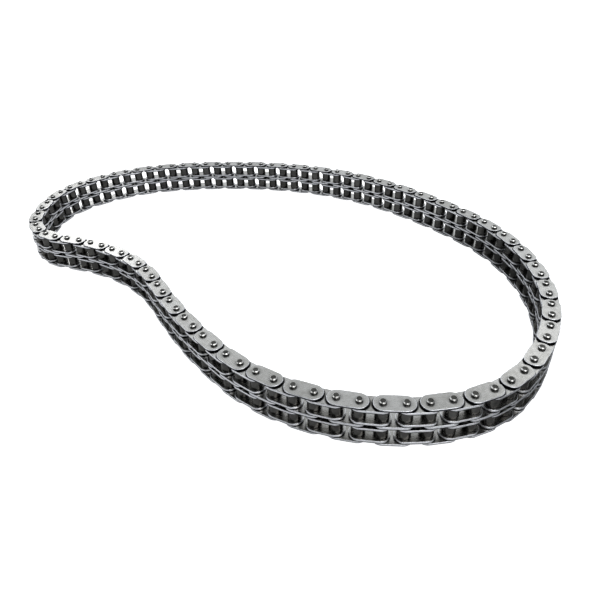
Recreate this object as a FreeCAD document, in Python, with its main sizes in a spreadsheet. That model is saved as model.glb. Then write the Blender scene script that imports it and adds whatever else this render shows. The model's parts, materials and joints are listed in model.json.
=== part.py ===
import FreeCAD, Part
import math
import os
import Sketcher

# Two-strand (duplex) roller chain of 9.525 mm pitch, an endless loop lying on its side:
# every pin stands upright on its lower end, and the loop runs counter-clockwise seen from above.
#
# Link 1 is the outer link in the middle of the front run and link 2 the inner link after it.
# Their pieces are separate bodies. Every other link is a linked copy of one of those two.

# driving dimensions in millimetres, turns in degrees
SIZES = {
    "pitch": 9.525,
    "strand_pitch": 10.24,
    "roller_diameter": 6.35,
    "roller_bore": 4.98,
    "roller_edge": 0.25,
    "roller_play": 0.08,
    "bush_diameter": 4.84,
    "bush_bore": 3.4,
    "pin_diameter": 3.28,
    "pin_edge": 0.4,
    "pin_overhang": 1.2,
    "plate_height": 9.0,
    "plate_reach": 4.13,
    "inner_width": 5.72,
    "inner_thickness": 1.35,
    "outer_thickness": 1.04,
    "middle_hole": 3.36,
    "side_play": 0.12,
    "front_heading": -5.7,
}

# The loop's course from pin 2 on: for each stretch its pins and the turn at each of them.
STRETCHES = [
    ("front_right", 3, 5.8),
    ("right_corner", 4, 8.2),
    ("right_bend", 7, 4.8),
    ("right_side", 10, 4.2),
    ("right_shoulder", 8, 1.9),
    ("back_right", 8, 3.0),
    ("back", 12, 2.2),
    ("back_left", 7, 5.3),
    ("left_corner", 4, 10.2),
    ("left_end", 3, 5.3),
    ("left_tip", 5, 12.0),
    ("waist_entry", 2, -2.2),
    ("waist", 8, -4.6),
    ("waist_exit", 3, 1.1),
    ("front_left", 5, 1.8),
    ("front", 9, 4.7),
]
LINKS = sum(count for _, count, _ in STRETCHES)
# these three stretches give way by a fraction of a degree so that the last link meets the first pin
CLOSING = ("right_side", "back", "front")

# links 3 to 98 move in rigid groups: four links each along the back, two links each elsewhere
BACK_FIRST, BACK_LAST = 39, 58

# heights above the ground, as sheet expressions
INNER_LINK_WIDTH = "(Sizes.inner_width + 2 * Sizes.inner_thickness)"
LOWER_STRAND = "(Sizes.pin_overhang + Sizes.outer_thickness + Sizes.side_play)"
UPPER_STRAND = f"({LOWER_STRAND} + Sizes.strand_pitch)"
MIDDLE_PLATE = f"({LOWER_STRAND} + {INNER_LINK_WIDTH} + Sizes.side_play)"
MIDDLE_THICKNESS = f"(Sizes.strand_pitch - {INNER_LINK_WIDTH} - 2 * Sizes.side_play)"
UPPER_OUTER_PLATE = f"({UPPER_STRAND} + {INNER_LINK_WIDTH} + Sizes.side_play)"
PIN_LENGTH = f"({UPPER_OUTER_PLATE} + Sizes.outer_thickness + Sizes.pin_overhang)"


def make_sheet(doc):
    """The spreadsheet of driving dimensions and of the turn in each stretch."""
    sheet = doc.addObject("Spreadsheet::Sheet", "Sizes")
    cells = {**SIZES, **{f"turn_{name}": turn for name, _, turn in STRETCHES}}
    for row, (alias, value) in enumerate(cells.items(), start=1):
        sheet.set(f"A{row}", alias)
        sheet.set(f"B{row}", str(value))
        sheet.setAlias(f"B{row}", alias)
    doc.recompute()
    return sheet


# ---------------------------------------------------------------- the loop's course

def lay_out(turns, pitch, heading):
    """Each link's first pin and heading in radians, and the point where the last link ends."""
    x = y = 0.0
    angle = math.radians(heading)
    course = []
    for name, count, _ in STRETCHES:
        for _ in range(count):
            course.append((x, y, angle))
            x += pitch * math.cos(angle)
            y += pitch * math.sin(angle)
            angle += math.radians(turns[name])
    return course, (x, y)


def solve_three(rows, right):
    """Cramer's rule for three equations."""
    def det(m):
        return (
            m[0][0] * (m[1][1] * m[2][2] - m[1][2] * m[2][1])
            - m[0][1] * (m[1][0] * m[2][2] - m[1][2] * m[2][0])
            + m[0][2] * (m[1][0] * m[2][1] - m[1][1] * m[2][0])
        )
    whole = det(rows)
    answer = []
    for column in range(3):
        swapped = [list(row) for row in rows]
        for row in range(3):
            swapped[row][column] = right[row]
        answer.append(det(swapped) / whole)
    return answer


def closed_course(sheet):
    """The course whose last link ends on the first pin after one full turn, found by Newton's method."""
    pitch, heading = sheet.pitch, sheet.front_heading
    turns = {name: getattr(sheet, f"turn_{name}") for name, _, _ in STRETCHES}

    def misfit(trial):
        x, y = lay_out(trial, pitch, heading)[1]
        total = sum(count * trial[name] for name, count, _ in STRETCHES)
        return [x, y, total - 360.0]

    step = 1e-4
    for _ in range(8):
        now = misfit(turns)
        slopes = []
        for name in CLOSING:
            nudged = misfit({**turns, name: turns[name] + step})
            slopes.append([(after - before) / step for before, after in zip(now, nudged)])
        rows = [[slopes[column][row] for column in range(3)] for row in range(3)]
        for name, change in zip(CLOSING, solve_three(rows, [-value for value in now])):
            turns[name] += change
    return lay_out(turns, pitch, heading)[0]


def link_placements(sheet):
    """A placement for each link: its first pin at the local origin, its second pin along local X.

    The whole course is shifted so that the chain's box is centred on the Z axis.
    """
    course = closed_course(sheet)
    middle_x = (min(c[0] for c in course) + max(c[0] for c in course)) / 2
    middle_y = (min(c[1] for c in course) + max(c[1] for c in course)) / 2
    up = FreeCAD.Vector(0, 0, 1)
    return [
        FreeCAD.Placement(
            FreeCAD.Vector(x - middle_x, y - middle_y, 0),
            FreeCAD.Rotation(up, math.degrees(angle)),
        )
        for x, y, angle in course
    ]


# ---------------------------------------------------------------- pieces

def new_body(doc, name, placement):
    body = doc.addObject("PartDesign::Body", name)
    body.Label = name
    body.Placement = placement
    return body


def flat_sketch(body, height):
    """A sketch parallel to the ground at a height given by a sheet expression."""
    sketch = body.newObject("Sketcher::SketchObject", f"{body.Name}_outline")
    ground = next(f for f in body.Origin.OriginFeatures if f.Role == "XY_Plane")
    sketch.AttachmentSupport = [(ground, "")]
    sketch.MapMode = "FlatFace"
    sketch.setExpression("AttachmentOffset.Base.z", height)
    return sketch


def bound_circle(sketch, x, diameter):
    """A circle centred on the sketch's X axis, with its place and diameter bound to the sheet."""
    circle = sketch.addGeometry(Part.Circle(FreeCAD.Vector(1, 0, 0), FreeCAD.Vector(0, 0, 1), 1), False)
    size = sketch.addConstraint(Sketcher.Constraint("Diameter", circle, 2.0))
    across = sketch.addConstraint(Sketcher.Constraint("DistanceX", -1, 1, circle, 3, 1.0))
    sketch.addConstraint(Sketcher.Constraint("PointOnObject", circle, 3, -1))
    sketch.setExpression(f"Constraints[{size}]", diameter)
    sketch.setExpression(f"Constraints[{across}]", x)
    return circle


def pad(body, sketch, length):
    feature = body.newObject("PartDesign::Pad", f"{body.Name}_pad")
    feature.Profile = sketch
    feature.setExpression("Length", length)
    sketch.Visibility = False
    return feature


def chamfer_rims(doc, body, feature, diameter, size):
    """Chamfers both end rims of the given diameter."""
    doc.recompute()
    rims = [
        f"Edge{number}"
        for number, edge in enumerate(feature.Shape.Edges, start=1)
        if isinstance(edge.Curve, Part.Circle) and abs(2 * edge.Curve.Radius - diameter) < 1e-6
    ]
    bevel = body.newObject("PartDesign::Chamfer", f"{body.Name}_bevel")
    bevel.Base = (feature, rims)
    bevel.setExpression("Size", size)
    return bevel


def make_plate(doc, name, placement, height, thickness, hole):
    """A plate with half-round ends that reach past its two pin holes."""
    body = new_body(doc, name, placement)
    sketch = flat_sketch(body, height)
    flank = SIZES["plate_height"] / 2
    rear_x = flank - SIZES["plate_reach"]
    front_x = SIZES["pitch"] - rear_x
    up = FreeCAD.Vector(0, 0, 1)
    rear_circle = Part.Circle(FreeCAD.Vector(rear_x, 0, 0), up, flank)
    front_circle = Part.Circle(FreeCAD.Vector(front_x, 0, 0), up, flank)
    outline = [
        Part.ArcOfCircle(rear_circle, math.pi / 2, 3 * math.pi / 2),
        Part.LineSegment(FreeCAD.Vector(rear_x, -flank, 0), FreeCAD.Vector(front_x, -flank, 0)),
        Part.ArcOfCircle(front_circle, -math.pi / 2, math.pi / 2),
        Part.LineSegment(FreeCAD.Vector(front_x, flank, 0), FreeCAD.Vector(rear_x, flank, 0)),
    ]
    rear, lower, front, upper = sketch.addGeometry(outline, False)
    joined = [(rear, 2, lower, 1), (lower, 2, front, 1), (front, 2, upper, 1), (upper, 2, rear, 1)]
    sketch.addConstraint([Sketcher.Constraint("Tangent", *pair) for pair in joined])
    sketch.addConstraint(Sketcher.Constraint("PointOnObject", rear, 3, -1))
    sketch.addConstraint(Sketcher.Constraint("PointOnObject", front, 3, -1))
    inset = sketch.addConstraint(Sketcher.Constraint("DistanceX", -1, 1, rear, 3, rear_x))
    across = sketch.addConstraint(Sketcher.Constraint("DistanceX", -1, 1, front, 3, front_x))
    radius = sketch.addConstraint(Sketcher.Constraint("Radius", rear, flank))
    sketch.setExpression(f"Constraints[{inset}]", "Sizes.plate_height / 2 - Sizes.plate_reach")
    sketch.setExpression(
        f"Constraints[{across}]", "Sizes.pitch + Sizes.plate_reach - Sizes.plate_height / 2"
    )
    sketch.setExpression(f"Constraints[{radius}]", "Sizes.plate_height / 2")
    bound_circle(sketch, "0 * Sizes.pitch", hole)
    bound_circle(sketch, "Sizes.pitch", hole)
    pad(body, sketch, thickness)
    return body


def make_pin(doc, name, placement, x):
    """A pin with bevelled ends, standing on the ground."""
    body = new_body(doc, name, placement)
    sketch = flat_sketch(body, "0 * Sizes.pitch")
    bound_circle(sketch, x, "Sizes.pin_diameter")
    feature = pad(body, sketch, PIN_LENGTH)
    chamfer_rims(doc, body, feature, SIZES["pin_diameter"], "Sizes.pin_edge")
    return body


def make_bush(doc, name, placement, x, height):
    """A bush, as long as the inner link is wide."""
    body = new_body(doc, name, placement)
    sketch = flat_sketch(body, height)
    bound_circle(sketch, x, "Sizes.bush_diameter")
    bound_circle(sketch, x, "Sizes.bush_bore")
    pad(body, sketch, INNER_LINK_WIDTH)
    return body


def make_roller(doc, name, placement, x, height):
    """A roller, free to spin on its bush between the inner plates."""
    body = new_body(doc, name, placement)
    sketch = flat_sketch(body, f"{height} + Sizes.inner_thickness + Sizes.roller_play")
    bound_circle(sketch, x, "Sizes.roller_diameter")
    bound_circle(sketch, x, "Sizes.roller_bore")
    feature = pad(body, sketch, "Sizes.inner_width - 2 * Sizes.roller_play")
    chamfer_rims(doc, body, feature, SIZES["roller_diameter"], "Sizes.roller_edge")
    return body


def make_outer_link(doc, placement):
    """The five pieces of an outer link."""
    pin_hole = "Sizes.pin_diameter"
    middle_hole = "Sizes.middle_hole"
    thin = "Sizes.outer_thickness"
    return [
        make_plate(doc, "outer_plate_lower", placement, "Sizes.pin_overhang", thin, pin_hole),
        make_plate(doc, "middle_plate", placement, MIDDLE_PLATE, MIDDLE_THICKNESS, middle_hole),
        make_plate(doc, "outer_plate_upper", placement, UPPER_OUTER_PLATE, thin, pin_hole),
        make_pin(doc, "pin_left", placement, "0 * Sizes.pitch"),
        make_pin(doc, "pin_right", placement, "Sizes.pitch"),
    ]


def make_inner_link(doc, placement):
    """The twelve pieces of an inner link: in each strand two plates, two bushes and two rollers."""
    pieces = []
    for strand, height in (("lower", LOWER_STRAND), ("upper", UPPER_STRAND)):
        far_plate = f"{height} + Sizes.inner_width + Sizes.inner_thickness"
        for place, level in (("bottom", height), ("top", far_plate)):
            name = f"inner_plate_{strand}_{place}"
            thickness = "Sizes.inner_thickness"
            pieces.append(make_plate(doc, name, placement, level, thickness, "Sizes.bush_diameter"))
        for side, x in (("left", "0 * Sizes.pitch"), ("right", "Sizes.pitch")):
            pieces.append(make_bush(doc, f"bush_{strand}_{side}", placement, x, height))
            pieces.append(make_roller(doc, f"roller_{strand}_{side}", placement, x, height))
    return pieces


# ---------------------------------------------------------------- the rest of the chain

def make_master(doc, name, pieces):
    """A compound of one link's pieces, which the other links of its kind copy."""
    master = doc.addObject("Part::Compound", name)
    master.Links = pieces
    return master


def make_copy(doc, number, masters, placements):
    """Link `number` as a linked copy of the outer link (odd numbers) or the inner link (even numbers)."""
    master_number = 1 if number % 2 else 2
    copy = doc.addObject("App::Link", f"copy_{number:02d}")
    copy.LinkedObject = masters[master_number]
    home = placements[master_number - 1]
    copy.Placement = placements[number - 1].multiply(home.inverse())
    return copy


def group_ranges():
    """First and last link of each rigid group."""
    ranges = []
    first = 3
    while first <= LINKS:
        size = 4 if BACK_FIRST <= first <= BACK_LAST else 2
        ranges.append((first, first + size - 1))
        first += size
    return ranges


def make_group(doc, first, last, masters, placements):
    name = f"links_{first:02d}_{last:02d}"
    group = doc.addObject("Part::Compound", name)
    group.Label = name
    group.Links = [make_copy(doc, number, masters, placements) for number in range(first, last + 1)]
    return group


def check(doc, nodes):
    """Stops on any failed object or bad shape, before anything is written."""
    failed = [o.Name for o in doc.Objects if {"Invalid", "Error"} & set(o.State)]
    if failed:
        raise RuntimeError(f"objects failed to recompute: {failed}")
    for node in nodes:
        if node.Shape.isNull() or not node.Shape.isValid() or not node.Shape.Solids:
            raise RuntimeError(f"{node.Label} has no valid solid")


doc = FreeCAD.newDocument("duplex_roller_chain")
sheet = make_sheet(doc)
placements = link_placements(sheet)

outer_pieces = make_outer_link(doc, placements[0])
inner_pieces = make_inner_link(doc, placements[1])
masters = {
    1: make_master(doc, "outer_link_pattern", outer_pieces),
    2: make_master(doc, "inner_link_pattern", inner_pieces),
}
groups = [make_group(doc, first, last, masters, placements) for first, last in group_ranges()]
doc.recompute()

nodes = outer_pieces + inner_pieces + groups
check(doc, nodes)
os.makedirs("parts", exist_ok=True)
for node in nodes:
    node.Shape.exportStep(f"parts/{node.Label}.step")
print(len(nodes), "nodes,", sum(len(node.Shape.Solids) for node in nodes), "solids")
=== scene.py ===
"""A duplex roller chain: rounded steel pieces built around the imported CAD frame, on a pale studio floor.

Every size and place of the chain comes from the CAD nodes. Lengths are in metres, and angles in degrees.
"""

import json
import math
import random

import bpy
import numpy as np
from mathutils import Matrix, Vector

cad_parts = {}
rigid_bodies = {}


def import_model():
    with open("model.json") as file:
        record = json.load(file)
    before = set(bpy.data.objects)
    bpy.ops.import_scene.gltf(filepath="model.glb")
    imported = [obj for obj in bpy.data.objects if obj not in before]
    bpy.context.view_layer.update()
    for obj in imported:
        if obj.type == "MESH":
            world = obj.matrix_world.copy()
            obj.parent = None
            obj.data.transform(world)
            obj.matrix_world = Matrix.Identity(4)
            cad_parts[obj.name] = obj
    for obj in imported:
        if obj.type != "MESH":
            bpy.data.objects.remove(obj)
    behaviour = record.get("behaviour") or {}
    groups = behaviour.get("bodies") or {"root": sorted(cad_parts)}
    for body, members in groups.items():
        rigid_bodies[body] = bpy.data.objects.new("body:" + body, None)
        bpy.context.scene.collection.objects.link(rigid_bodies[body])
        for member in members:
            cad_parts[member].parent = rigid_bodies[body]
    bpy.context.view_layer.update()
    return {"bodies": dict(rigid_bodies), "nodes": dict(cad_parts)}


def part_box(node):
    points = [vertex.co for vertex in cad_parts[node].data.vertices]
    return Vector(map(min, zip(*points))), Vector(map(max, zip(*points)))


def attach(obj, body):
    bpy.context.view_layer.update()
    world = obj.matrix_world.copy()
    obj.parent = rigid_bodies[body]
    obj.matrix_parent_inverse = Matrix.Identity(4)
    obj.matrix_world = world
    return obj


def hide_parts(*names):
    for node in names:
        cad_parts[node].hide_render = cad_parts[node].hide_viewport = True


MM = 0.001

# Rounded edges, as radii.
PLATE_EDGE = 0.22 * MM
HOLE_EDGE = 0.07 * MM
PIN_EDGE = 0.07 * MM  # where a pin's chamfer meets its side and its end
ROLLER_EDGE = 0.24 * MM
BUSH_EDGE = 0.06 * MM

TURN_STEPS = 40  # points round a circle, a multiple of eight
FINE_STEPS = 4  # steps round an edge that shows
PIN_STEPS = 2
PLAIN_STEPS = 1

# The share of a plate's wall, from below, that is dark: a dull fracture zone, darkened further as painted shade.
DULL_SHADED_SHARE = 0.30
# On the upper outer plates nearly the whole wall is dark: a painted shadow under their ends.
SHADOWED_SHARE_TOP = 0.92  # on the upper outer plates

# Distances that tell the CAD's points apart.
SAME_HEIGHT = 0.01 * MM
SAME_PIN = 4 * MM
SAME_PLACE = 1 * MM
ALMOST_ZERO = 1e-9

# The numbers of the materials on each kind of piece.
FACE, EDGE, DULL_SHADED, COVERED, SHADOWED_WALL = range(5)
PIN_SIDE, PIN_BEVEL, PIN_END = range(3)
TUBE_SIDE, TUBE_RIM = range(2)

# The steel's noises, as scales per millimetre, and its bump.
BLOTCH_SCALE = 0.45
LINE_SCALE = 1.2
BUMP_STRENGTH = 0.2

# How the steel's two tones mix: each source's part, and the sum's range from dark to light.
BLOTCH_PART = 0.55
LINE_PART = 0.25
TONE_PART = 0.20
ALL_DARK, ALL_LIGHT = 0.28, 0.74
TONE_SEED = 9525
GRAIN_DEPTH = 500  # the grain of two copies lies up to this many millimetres apart

CAMERA_AT = Vector((26.2, -291.3, 177.5)) * MM
CAMERA_TILT = 34.63  # below the horizon, looking along +Y
CAMERA_ROLL = -2.34
CAMERA_LENS = 31.5
CAMERA_CLIP = (0.01, 50)

# The room's brightness, as a mirror would show it. The ramps run over a direction's Z, or its Y and Z together.
ROOM_COLOUR = (0.94, 0.97, 1.0, 1)
WALL_LIGHT = 0.95
CEILING_LIGHT = 0.60
CEILING_RAMP = (0.63, 0.70)
HORIZON_SHARE = 0.12  # of the wall's brightness is left at the horizon
HORIZON_RAMP = (0.05, 0.45)
FRONT_SHARE = 0.08  # of the room's brightness is left low down on the camera's side
FRONT_RAMP = (0.25, 1.0)

# The softboxes: azimuth, elevation, width, height and brightness.
BOX_DISTANCE = 1.2
SOFTBOXES = {
    "left_box": (-29.5, 26.6, 0.18, 0.13, 3.7),
    "left_fill": (-13, 36, 0.45, 0.30, 0.12),
    "right_box": (41, 38.6, 0.14, 0.12, 1.6),
    "side_box": (-105, 22, 0.70, 0.40, 1.5),
    "top_box": (152, 58, 0.90, 0.73, 2.6),
}

STAGE_REACH = 6.0
WALL_HEIGHT = 6.0
PAPER_ROUGHNESS = 0.9
PAPER_GLOW_COLOUR = (0.98, 0.99, 1.0, 1)
FLOOR_SHADE = 0.60
FLOOR_GLOW = 0.85
TABLE_DEPTH = 0.2 * MM  # below the floor
TABLE_SHADE = 0.78
# The table's colour darkens on the chain's right: a painted shadow.
TABLE_SHADOW = 0.30  # the table's shade on the chain's right
SHADOW_START, SHADOW_END = 0.09, 0.14  # along X

OUTER_PLATES = ("outer_plate_lower", "middle_plate", "outer_plate_upper")
INNER_PLATES = (
    "inner_plate_lower_bottom",
    "inner_plate_lower_top",
    "inner_plate_upper_bottom",
    "inner_plate_upper_top",
)
STRANDS = ("lower", "upper")


# ---- What the frame says ----


def points_of(node):
    """A CAD node's vertices, as rows of x, y and z."""
    vertices = frame["nodes"][node].data.vertices
    flat = np.empty(3 * len(vertices))
    vertices.foreach_get("co", flat)
    return flat.reshape(-1, 3)


def lowest_points(node):
    """The x and y of a node's vertices at its foot. For pins these are the rims of their lower ends."""
    points = points_of(node)
    return points[points[:, 2] < points[:, 2].min() + SAME_HEIGHT][:, :2]


def pin_axes(node):
    """Where a node's pins stand, as x and y."""
    rims = lowest_points(node)
    axes = []
    while len(rims):
        near = np.hypot(*(rims - rims[0]).T) < SAME_PIN
        axes.append((rims[near].min(0) + rims[near].max(0)) / 2)
        rims = rims[~near]
    return axes


def walk(axes, first, second):
    """The pins in their order round the loop, from two neighbours: the next pin is always the nearest left."""
    left = [axis for axis in axes if min(np.hypot(*(axis - first)), np.hypot(*(axis - second))) > SAME_PLACE]
    order = [first, second]
    while left:
        nearest = min(range(len(left)), key=lambda i: np.hypot(*(left[i] - order[-1])))
        order.append(left.pop(nearest))
    return order


def radii(node, axis):
    """The least and the greatest distance of a node's surface from an upright axis."""
    distances = np.hypot(*(points_of(node)[:, :2] - axis).T)
    return distances.min(), distances.max()


def heights(node):
    low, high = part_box(node)
    return low.z, high.z


def links_of(body):
    """The numbers of the links that a body holds."""
    if body == "front_outer_link":
        return [1]
    if body == "front_inner_link":
        return [2]
    first, last = body.split("_")[1:]
    return list(range(int(first), int(last) + 1))


# ---- Moulds: a mesh for one piece, in its own link's place ----


class Mould:
    """Points with their normals, and faces with the number of the material on each."""

    def __init__(self):
        self.points = []
        self.normals = []
        self.faces = []
        self.looks = []

    def add_ring(self, points, normals):
        start = len(self.points)
        self.points.extend(points)
        self.normals.extend(normals)
        return list(range(start, len(self.points)))

    def add_face(self, corners, look):
        self.faces.append(tuple(corners))
        self.looks.append(look)

    def bridge(self, low, high, look, closed=True):
        """Quads between two rings with the same number of points."""
        count = len(low)
        for i in range(count if closed else count - 1):
            j = (i + 1) % count
            self.add_face((low[i], low[j], high[j], high[i]), look)


def rounded(corners, closed):
    """A cross-section with rounded corners, as rows of out, up, normal out and normal up.

    A corner is out, up, radius and steps. The line runs with the material on its left. An open one has
    its first and last corner as plain ends, which are left out.
    """
    rows = []
    count = len(corners)
    for i in range(count) if closed else range(1, count - 1):
        before = np.array(corners[i - 1][:2])
        here = np.array(corners[i][:2])
        after = np.array(corners[(i + 1) % count][:2])
        radius, steps = corners[i][2:]
        arriving = (here - before) / np.linalg.norm(here - before)
        leaving = (after - here) / np.linalg.norm(after - here)
        turn = math.atan2(arriving[0] * leaving[1] - arriving[1] * leaving[0], arriving @ leaving)
        start = here - arriving * radius * math.tan(turn / 2)
        centre = start + radius * np.array([-arriving[1], arriving[0]])
        for step in range(steps + 1):
            angle = turn * step / steps
            cosine, sine = math.cos(angle), math.sin(angle)
            along = (arriving[0] * cosine - arriving[1] * sine, arriving[0] * sine + arriving[1] * cosine)
            normal = np.array([along[1], -along[0]])
            rows.append((*(centre + radius * normal), *normal))
    return rows


def turned(corners, closed, looks):
    """A turned piece about the Z axis.

    looks maps a step of the cross-section to its material. An open one has flat ends, which are the steps
    before the first and after the last.
    """
    mould = Mould()
    turns = [2 * math.pi * i / TURN_STEPS for i in range(TURN_STEPS)]
    rings = []
    for out, up, normal_out, normal_up in rounded(corners, closed):
        points = [(out * math.cos(t), out * math.sin(t), up) for t in turns]
        normals = [(normal_out * math.cos(t), normal_out * math.sin(t), normal_up) for t in turns]
        rings.append(mould.add_ring(points, normals))
    pairs = list(zip(rings, rings[1:]))
    if closed:
        pairs.append((rings[-1], rings[0]))
    else:
        mould.add_face(reversed(rings[0]), looks(-1))
        mould.add_face(rings[-1], looks(len(pairs)))
    for step, (low, high) in enumerate(pairs):
        mould.bridge(low, high, looks(step))
    return mould


def pin_mould(low, high, radius, chamfer):
    """A straight pin with chamfered ends: its side, its chamfers and its flat ends have a material each."""
    corners = [
        (0, low, 0, 0),
        (radius - chamfer, low, PIN_EDGE, PIN_STEPS),
        (radius, low + chamfer, PIN_EDGE, PIN_STEPS),
        (radius, high - chamfer, PIN_EDGE, PIN_STEPS),
        (radius - chamfer, high, PIN_EDGE, PIN_STEPS),
        (0, high, 0, 0),
    ]
    side_step = 2 * PIN_STEPS + 1
    upper_end = 4 * PIN_STEPS + 3

    def looks(step):
        if step in (-1, upper_end):
            return PIN_END
        return PIN_SIDE if step == side_step else PIN_BEVEL

    return turned(corners, False, looks)


def tube_mould(low, high, bore, radius, edge):
    """A bush or a roller, whose rounded rims have a material of their own."""
    corners = [
        (radius, low, edge, FINE_STEPS),
        (radius, high, edge, FINE_STEPS),
        (bore, high, BUSH_EDGE, PLAIN_STEPS),
        (bore, low, BUSH_EDGE, PLAIN_STEPS),
    ]
    rims = set(range(FINE_STEPS)) | set(range(FINE_STEPS + 1, 2 * FINE_STEPS + 1))
    return turned(corners, True, lambda step: TUBE_RIM if step in rims else TUBE_SIDE)


def plate_mould(low, high, hole, radius, length, dark_share, top_look, dark_look):
    """An oblong plate with two holes and half-round ends.

    radius is half its height. top_look is the material on its upper face. The share of its wall from below that is
    darker, and the material there, are given as well; that darkness is painted shade, on most plates over a dull
    fracture zone.
    """
    mould = Mould()
    half = length / 2 - radius
    angles = [2 * math.pi * i / TURN_STEPS for i in range(TURN_STEPS)]
    split = math.atan2(radius, half)

    def on_outline(angle, out):
        """The outline's point seen from the left end's centre at an angle, and its normal, grown by out."""
        cosine, sine = math.cos(angle), math.sin(angle)
        if cosine <= ALMOST_ZERO:
            return (-half + (radius + out) * cosine, (radius + out) * sine), (cosine, sine)
        side = math.copysign(1, sine)
        return (-half + radius / abs(math.tan(angle)), side * (radius + out)), (0, side)

    outline_angles = [a for a in angles if split < a < 2 * math.pi - split]
    left_part = len(outline_angles)

    def outline(out, up, normal_out, normal_up):
        """The whole outline, leftwards along its upper side, round the left end, and back along its lower side."""
        points, normals = [], []
        for mirror in (1, -1):
            for angle in outline_angles:
                (x, y), (nx, ny) = on_outline(angle, out)
                points.append((mirror * x, mirror * y, up))
                normals.append((mirror * nx * normal_out, mirror * ny * normal_out, normal_up))
        return mould.add_ring(points, normals)

    wall_line = [
        (-radius, low, 0, 0),
        (0, low, PLATE_EDGE, FINE_STEPS),
        (0, high, PLATE_EDGE, FINE_STEPS),
        (-radius, high, 0, 0),
    ]
    side = rounded(wall_line, False)
    wall_foot = side[FINE_STEPS][1]
    wall_top = side[FINE_STEPS + 1][1]
    # The wall's lower share is darker: painted shade, on most plates over a dull fracture zone.
    side.insert(FINE_STEPS + 1, (0, wall_foot + dark_share * (wall_top - wall_foot), 1, 0))
    rings = [outline(*row) for row in side]
    for step, (lower, upper) in enumerate(zip(rings, rings[1:])):
        mould.bridge(lower, upper, dark_look if step <= FINE_STEPS else EDGE)

    hole_line = [
        (radius, high, 0, 0),
        (hole, high, HOLE_EDGE, PLAIN_STEPS),
        (hole, low, HOLE_EDGE, PLAIN_STEPS),
        (radius, low, 0, 0),
    ]
    turns = [(math.cos(a), math.sin(a)) for a in angles]
    middle = [a for a in angles if not split < a < 2 * math.pi - split]
    for mirror in (1, -1):
        hole_rings = []
        for out, up, normal_out, normal_up in rounded(hole_line, False):
            points = [(mirror * (out * c - PITCH / 2), mirror * out * s, up) for c, s in turns]
            normals = [(mirror * normal_out * c, mirror * normal_out * s, normal_up) for c, s in turns]
            hole_rings.append(mould.add_ring(points, normals))
        for lower, upper in zip(hole_rings, hole_rings[1:]):
            mould.bridge(lower, upper, EDGE)
        first = 0 if mirror == 1 else left_part
        faces = ((rings[-1], hole_rings[0], high, 1, top_look), (rings[0], hole_rings[-1], low, -1, FACE))
        for ring, rim, up, sense, look in faces:
            middle_points = [(0, mirror * half * math.tan(a), up) for a in middle]
            added = dict(zip(middle, mould.add_ring(middle_points, [(0, 0, sense)] * len(middle))))
            reached = dict(zip(outline_angles, ring[first : first + left_part]))
            reached.update(added)
            border = [reached[a] for a in angles]
            for i in range(TURN_STEPS):
                j = (i + 1) % TURN_STEPS
                corners = (rim[i], border[i], border[j], rim[j])
                mould.add_face(corners if sense == 1 else reversed(corners), look)
            corners = (added[max(a for a in middle if a < math.pi)], ring[first - 1], ring[first])
            mould.add_face(corners if sense == 1 else reversed(corners), look)
    return mould


# ---- Pieces: copies of a mould at their links, joined and riding on one body ----


def place(link):
    """A link's middle, its direction as an angle, and its two ends' distance from the middle."""
    start = PINS[(link - 1) % LINKS]
    end = PINS[link % LINKS]
    return (start + end) / 2, math.atan2(*(end - start)[::-1])


def make_piece(name, copies, materials):
    """Joins copies of moulds into one mesh. A copy is a mould, its middle and its angle.

    Two attributes tell the materials where they are: grain is a point's place in its own mould in
    millimetres, with a depth that differs from copy to copy, and tone is one number for the whole copy.
    """
    points, normals, faces, looks, grain, tone = [], [], [], [], [], []
    for mould, middle, angle in copies:
        cosine, sine = math.cos(angle), math.sin(angle)
        turn = np.array([[cosine, sine, 0], [-sine, cosine, 0], [0, 0, 1]])
        local = np.array(mould.points)
        start = sum(len(p) for p in points)
        points.append(local @ turn + [*middle, 0])
        normals.append(np.array(mould.normals) @ turn)
        faces.extend(tuple(start + i for i in face) for face in mould.faces)
        looks.extend(mould.looks)
        grain.append(local / MM + [0, 0, CHANCE.uniform(0, GRAIN_DEPTH)])
        tone.extend([CHANCE.random()] * len(local))
    mesh = bpy.data.meshes.new(name)
    mesh.from_pydata(np.concatenate(points), [], faces)
    for made in materials:
        mesh.materials.append(made)
    mesh.polygons.foreach_set("material_index", looks)
    mesh.polygons.foreach_set("use_smooth", [True] * len(faces))
    mesh.attributes.new("grain", "FLOAT_VECTOR", "POINT").data.foreach_set("vector", np.concatenate(grain).ravel())
    mesh.attributes.new("tone", "FLOAT", "POINT").data.foreach_set("value", tone)
    mesh.normals_split_custom_set_from_vertices(np.concatenate(normals).tolist())
    piece = bpy.data.objects.new(name, mesh)
    bpy.context.scene.collection.objects.link(piece)
    return piece


# ---- Materials ----


def new_material(name):
    made = bpy.data.materials.new(name)
    made.use_nodes = True
    tree = made.node_tree
    shader = tree.nodes["Principled BSDF"]
    return made, tree, shader


def add_node(tree, kind, inputs=None, **settings):
    """A node with its settings, and its inputs set to values or joined to other nodes' outputs."""
    node = tree.nodes.new("ShaderNode" + kind)
    for name, value in settings.items():
        setattr(node, name, value)
    for name, value in (inputs or {}).items():
        if isinstance(value, bpy.types.NodeSocket):
            tree.links.new(value, node.inputs[name])
        else:
            node.inputs[name].default_value = value
    return node


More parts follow.
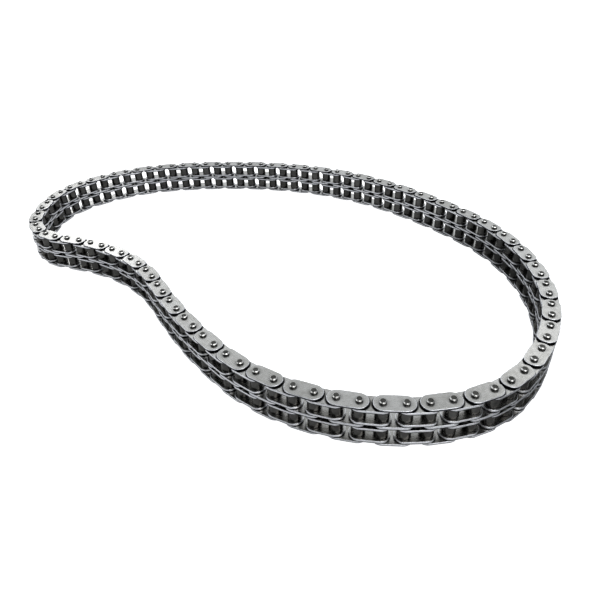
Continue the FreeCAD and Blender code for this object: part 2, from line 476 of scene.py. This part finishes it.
def steel(name, dark, light, roughness, streaks=(0.25, 3.0, 3.0), bump=0.02, halo=None):
    """Bare steel in the grain attribute's millimetres: blotches of two tones, fine streaks and a faint bump.

    streaks stretches the fine noise along the piece's axes. halo is the start, reach and depth for add_halo.
    """
    made, tree, shader = new_material(name)
    shader.inputs["Metallic"].default_value = 1.0
    grain = add_node(tree, "Attribute", attribute_name="grain").outputs["Vector"]
    tone = add_node(tree, "Attribute", attribute_name="tone").outputs["Fac"]
    stretched = add_node(tree, "VectorMath", {0: grain, 1: streaks}, operation="MULTIPLY").outputs["Vector"]
    blotches = add_node(
        tree, "TexNoise", {"Vector": grain, "Scale": BLOTCH_SCALE, "Detail": 4.0, "Roughness": 0.55}
    ).outputs["Fac"]
    lines = add_node(
        tree, "TexNoise", {"Vector": stretched, "Scale": LINE_SCALE, "Detail": 3.0, "Roughness": 0.6}
    ).outputs["Fac"]

    line_share = add_node(tree, "Math", {0: lines, 1: LINE_PART}, operation="MULTIPLY").outputs[0]
    mixed = add_node(
        tree, "Math", {0: blotches, 1: BLOTCH_PART, 2: line_share}, operation="MULTIPLY_ADD"
    ).outputs[0]
    with_tone = add_node(tree, "Math", {0: tone, 1: TONE_PART, 2: mixed}, operation="MULTIPLY_ADD").outputs[0]
    share = add_node(
        tree, "MapRange", {"Value": with_tone, "From Min": ALL_DARK, "From Max": ALL_LIGHT}
    ).outputs["Result"]
    colour = add_node(
        tree, "Mix", {"Factor": share, "A": (*dark, 1), "B": (*light, 1)}, data_type="RGBA"
    ).outputs["Result"]
    if halo:
        colour = add_halo(tree, grain, colour, *halo)
    tree.links.new(colour, shader.inputs["Base Color"])

    low, high = roughness
    rough = add_node(
        tree, "MapRange", {"Value": lines, "From Min": 0.3, "From Max": 0.7, "To Min": low, "To Max": high}
    ).outputs["Result"]
    tree.links.new(rough, shader.inputs["Roughness"])
    relief = add_node(
        tree, "Bump", {"Strength": BUMP_STRENGTH, "Distance": bump * MM, "Height": lines}
    ).outputs["Normal"]
    tree.links.new(relief, shader.inputs["Normal"])
    return made


def add_halo(tree, grain, colour, start, reach, depth):
    """Darkens a plate's colour round each hole: partly oil and wear, partly painted shade.

    Up to start millimetres from the hole's axis only a share of the colour, depth, is left. From reach on it is
    all there.
    """
    place_in_plate = add_node(tree, "SeparateXYZ", {"Vector": grain}).outputs
    from_middle = add_node(tree, "Math", {0: place_in_plate["X"]}, operation="ABSOLUTE").outputs[0]
    from_hole = add_node(tree, "Math", {0: from_middle, 1: PITCH / 2 / MM}, operation="SUBTRACT").outputs[0]
    flat = add_node(tree, "CombineXYZ", {"X": from_hole, "Y": place_in_plate["Y"]}).outputs[0]
    away = add_node(tree, "VectorMath", {0: flat}, operation="LENGTH").outputs["Value"]
    lightness = add_node(
        tree,
        "MapRange",
        {"Value": away, "From Min": start, "From Max": reach, "To Min": depth, "To Max": 1.0},
        interpolation_type="SMOOTHSTEP",
    ).outputs["Result"]
    shaded = add_node(
        tree, "Mix", {"Factor": 1.0, "A": colour, "B": lightness}, data_type="RGBA", blend_type="MULTIPLY"
    )
    return shaded.outputs["Result"]


# ---- Stage ----


def softbox(name, azimuth, elevation, width, height, brightness):
    """An area light that faces the chain's middle from BOX_DISTANCE away.

    Azimuth 0 is behind the chain, and 90 to its right. Brightness is what a mirror would show of it.
    """
    a, e = math.radians(azimuth), math.radians(elevation)
    away = Vector((math.sin(a) * math.cos(e), math.cos(a) * math.cos(e), math.sin(e)))
    light = bpy.data.lights.new(name, "AREA")
    light.shape = "RECTANGLE"
    light.size = width
    light.size_y = height
    light.energy = brightness * math.pi * width * height
    lamp = bpy.data.objects.new(name, light)
    lamp.location = away * BOX_DISTANCE
    lamp.rotation_euler = away.to_track_quat("Z", "Y").to_euler()
    bpy.context.scene.collection.objects.link(lamp)


def make_plane(name, height, wall, shade, glow):
    """A wide matt plane of the stage, with walls round it if their height isn't zero."""
    mesh = bpy.data.meshes.new(name)
    square = [(-1, -1), (1, -1), (1, 1), (-1, 1)]
    corners = [(STAGE_REACH * x, STAGE_REACH * y, z) for z in (height, height + wall) for x, y in square]
    sides = [(i, (i + 1) % 4, (i + 1) % 4 + 4, i + 4) for i in range(4)]
    mesh.from_pydata(corners, [], [(0, 1, 2, 3)] + (sides if wall else []))
    made, tree, shader = new_material(name + "_paper")
    shader.inputs["Base Color"].default_value = (shade, shade, shade, 1)
    shader.inputs["Roughness"].default_value = PAPER_ROUGHNESS
    shader.inputs["Emission Color"].default_value = PAPER_GLOW_COLOUR
    shader.inputs["Emission Strength"].default_value = glow
    mesh.materials.append(made)
    plane = bpy.data.objects.new(name, mesh)
    bpy.context.scene.collection.objects.link(plane)
    return plane


def shadow_right_side(plane):
    """Paints a shadow on a plane's paper towards +X: its colour darkens there."""
    tree = plane.data.materials[0].node_tree
    position = add_node(tree, "TexCoord").outputs["Object"]
    across = add_node(tree, "SeparateXYZ", {"Vector": position}).outputs["X"]
    ends = {"From Min": SHADOW_START, "From Max": SHADOW_END, "To Min": TABLE_SHADE, "To Max": TABLE_SHADOW}
    shade = add_node(tree, "MapRange", {"Value": across, **ends}, interpolation_type="SMOOTHSTEP")
    tree.links.new(shade.outputs["Result"], tree.nodes["Principled BSDF"].inputs["Base Color"])


def make_floor():
    """A white floor and walls, which only the camera sees, over a table, which only the chain mirrors."""
    floor = make_plane("floor", 0, WALL_HEIGHT, FLOOR_SHADE, FLOOR_GLOW)
    floor.visible_diffuse = False
    floor.visible_glossy = False
    floor.visible_shadow = False
    table = make_plane("table", -TABLE_DEPTH, 0, TABLE_SHADE, 0)
    table.visible_camera = False
    shadow_right_side(table)


def make_camera():
    data = bpy.data.cameras.new("camera")
    data.lens = CAMERA_LENS
    data.clip_start, data.clip_end = CAMERA_CLIP
    camera = bpy.data.objects.new("camera", data)
    tilted = Matrix.Rotation(math.radians(90 - CAMERA_TILT), 4, "X")
    rolled = Matrix.Rotation(math.radians(CAMERA_ROLL), 4, "Z")
    camera.matrix_world = Matrix.Translation(CAMERA_AT) @ tilted @ rolled
    bpy.context.scene.collection.objects.link(camera)
    bpy.context.scene.camera = camera


def make_light():
    """A room that is brightest behind the chain, with softboxes on both sides of it and overhead."""
    world = bpy.data.worlds.new("studio")
    world.use_nodes = True
    tree = world.node_tree
    direction = add_node(tree, "TexCoord").outputs["Generated"]
    axes = add_node(tree, "SeparateXYZ", {"Vector": direction}).outputs

    def ramp(value, ends, low, high):
        inputs = {"Value": value, "From Min": ends[0], "From Max": ends[1], "To Min": low, "To Max": high}
        return add_node(tree, "MapRange", inputs, interpolation_type="SMOOTHSTEP").outputs["Result"]

    strength = ramp(axes["Z"], CEILING_RAMP, WALL_LIGHT, CEILING_LIGHT)
    backwards = add_node(tree, "Math", {0: axes["Y"], 1: axes["Z"]}, operation="ADD").outputs[0]
    above_horizon = ramp(axes["Z"], HORIZON_RAMP, HORIZON_SHARE, 1.0)
    behind = ramp(backwards, FRONT_RAMP, FRONT_SHARE, 1.0)
    for share in (above_horizon, behind):
        strength = add_node(tree, "Math", {0: strength, 1: share}, operation="MULTIPLY").outputs[0]
    background = tree.nodes["Background"]
    background.inputs["Color"].default_value = ROOM_COLOUR
    tree.links.new(strength, background.inputs["Strength"])
    bpy.context.scene.world = world
    for name, setting in SOFTBOXES.items():
        softbox(name, *setting)


# ---- The chain ----

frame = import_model()
CHANCE = random.Random(TONE_SEED)

LEFT_AXIS = pin_axes("pin_left")[0]
RIGHT_AXIS = pin_axes("pin_right")[0]
PIN_NODES = ["pin_left", "pin_right"] + [n for n in frame["nodes"] if n.startswith("links_")]
PINS = walk([axis for node in PIN_NODES for axis in pin_axes(node)], LEFT_AXIS, RIGHT_AXIS)
LINKS = len(PINS)
PITCH = np.hypot(*(RIGHT_AXIS - LEFT_AXIS))
PIN_RADIUS = radii("pin_left", LEFT_AXIS)[1]


def plate_size(node):
    """Half the height of a plate of the front outer link, and its length, square to the link and along it."""
    along = (RIGHT_AXIS - LEFT_AXIS) / PITCH
    across = np.array([-along[1], along[0]])
    return np.ptp(points_of(node)[:, :2] @ across) / 2, np.ptp(points_of(node)[:, :2] @ along)


PLATE_SIZE = plate_size("middle_plate")


def make_moulds():
    """One mould for each kind of piece, under its front node's name, from the sizes of that node."""
    moulds = {}
    for node in OUTER_PLATES + INNER_PLATES:
        hole = radii(node, RIGHT_AXIS)[0]
        # The top inner plate of each strand carries a painted shadow ring where an outer plate's edge lies over
        # it.
        top_look = COVERED if node.startswith("inner") and node.endswith("top") else FACE
        # The upper outer plates' dark wall is a painted shadow; the other plates' is a fracture zone with painted
        # shade.
        share, dark_look = (SHADOWED_SHARE_TOP, SHADOWED_WALL) if node == "outer_plate_upper" else (DULL_SHADED_SHARE, DULL_SHADED)
        moulds[node] = plate_mould(*heights(node), hole, *PLATE_SIZE, share, top_look, dark_look)
    for strand in STRANDS:
        for kind, edge in (("bush", BUSH_EDGE), ("roller", ROLLER_EDGE)):
            node = f"{kind}_{strand}_left"
            moulds[f"{kind}_{strand}"] = tube_mould(*heights(node), *radii(node, RIGHT_AXIS), edge)
    end_radius = np.hypot(*(lowest_points("pin_left") - LEFT_AXIS).T).max()
    moulds["pin"] = pin_mould(*heights("pin_left"), PIN_RADIUS, PIN_RADIUS - end_radius)
    return moulds


def make_materials():
    """The lists of materials for each kind of piece, in the order of its mould's numbers."""
    turned_lines = (0.3, 0.3, 6.0)
    face_tones = ((0.38, 0.372, 0.35), (0.62, 0.615, 0.60), (0.22, 0.32))
    # The ring round each hole is partly oil and partly painted shade round the pins.
    plate_face = steel("plate_face", *face_tones, halo=(1.6, 3.4, 0.72))
    # Same steel, with a deep dark ring where an outer plate's edge lies over it: a painted shadow.
    covered_face_shadowed = steel("covered_face_shadowed", *face_tones, halo=(4.4, 5.2, 0.08))
    # Near-black wall of the upper outer plates: a painted shadow.
    shadowed_wall = steel("shadowed_wall", (0.03, 0.03, 0.034), (0.08, 0.08, 0.09), (0.30, 0.42))
    # Bright bluish edge: partly a burnished rim, partly a painted highlight and painted reflection.
    plate_edge = steel("plate_edge", (0.78, 0.79, 0.82), (0.90, 0.91, 0.94), (0.26, 0.34), bump=0.005)
    # Near-black lower wall: partly a dull fracture zone, partly painted shade.
    plate_dull_shaded = steel("plate_dull_shaded", (0.03, 0.03, 0.035), (0.09, 0.092, 0.10), (0.30, 0.42))
    # The pins' sides are dark as painted shade.
    pin_side = steel("pin_side", (0.08, 0.08, 0.08), (0.16, 0.16, 0.155), (0.25, 0.4), turned_lines)
    # The chamfer's bright colour is partly polish, partly a painted highlight.
    pin_bevel = steel("pin_bevel", (0.72, 0.72, 0.70), (0.88, 0.88, 0.86), (0.26, 0.36), turned_lines)
    pin_end = steel("pin_end", (0.07, 0.07, 0.066), (0.15, 0.147, 0.138), (0.35, 0.5), (1.5, 1.5, 1.0))
    pin_end.node_tree.nodes["Principled BSDF"].inputs["Specular Tint"].default_value = (0.4, 0.4, 0.4, 1)
    roller_side = steel("roller_side", (0.075, 0.074, 0.071), (0.165, 0.163, 0.157), (0.12, 0.20), turned_lines)
    roller_rim = steel("roller_rim", (0.06, 0.06, 0.065), (0.12, 0.12, 0.13), (0.18, 0.28), turned_lines)
    bush_side = steel("bush_side", (0.08, 0.08, 0.08), (0.14, 0.14, 0.14), (0.3, 0.4), turned_lines)
    return {
        "plate": [plate_face, plate_edge, plate_dull_shaded, covered_face_shadowed, shadowed_wall],
        "pin": [pin_side, pin_bevel, pin_end],
        "roller": [roller_side, roller_rim],
        "bush": [bush_side, bush_side],
    }


def plate_copies(link, names):
    middle, angle = place(link)
    return [(MOULDS[name], middle, angle) for name in names]


def tube_copies(link, kind):
    """The four bushes or rollers of an inner link."""
    angle = place(link)[1]
    ends = (PINS[(link - 1) % LINKS], PINS[link % LINKS])
    return [(MOULDS[f"{kind}_{strand}"], end, angle) for strand in STRANDS for end in ends]


def pin_copies(link):
    angle = place(link)[1]
    return [(MOULDS["pin"], PINS[(link - 1) % LINKS], angle), (MOULDS["pin"], PINS[link % LINKS], angle)]


def add_single(name, copies, kind, body):
    piece = make_piece(name + "_looks", copies, MATERIALS[kind])
    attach(piece, body)
    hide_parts(name)


def make_front_links():
    """The two front links, whose pieces are nodes of their own."""
    for name, copy in zip(OUTER_PLATES, plate_copies(1, OUTER_PLATES)):
        add_single(name, [copy], "plate", "front_outer_link")
    for name, copy in zip(("pin_left", "pin_right"), pin_copies(1)):
        add_single(name, [copy], "pin", "front_outer_link")
    for name, copy in zip(INNER_PLATES, plate_copies(2, INNER_PLATES)):
        add_single(name, [copy], "plate", "front_inner_link")
    places = [f"{strand}_{end}" for strand in STRANDS for end in ("left", "right")]
    for end, bush, roller in zip(places, tube_copies(2, "bush"), tube_copies(2, "roller")):
        add_single("bush_" + end, [bush], "bush", "front_inner_link")
        add_single("roller_" + end, [roller], "roller", "roller_" + end)


def make_group(body):
    """The links of one body, as one piece for each kind."""
    copies = {"plate": [], "pin": [], "bush": [], "roller": []}
    for link in links_of(body):
        if link % 2:
            copies["plate"] += plate_copies(link, OUTER_PLATES)
            copies["pin"] += pin_copies(link)
        else:
            copies["plate"] += plate_copies(link, INNER_PLATES)
            copies["bush"] += tube_copies(link, "bush")
            copies["roller"] += tube_copies(link, "roller")
    for kind, parts in copies.items():
        piece = make_piece(f"{body}_{kind}s", parts, MATERIALS[kind])
        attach(piece, body)
        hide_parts(body)


MOULDS = make_moulds()
MATERIALS = make_materials()
make_front_links()
for body_name in frame["bodies"]:
    if body_name.startswith("links_"):
        make_group(body_name)

make_floor()
make_light()
make_camera()
bpy.context.scene.view_settings.view_transform = "Standard"
bpy.context.scene.view_settings.look = "Medium High Contrast"
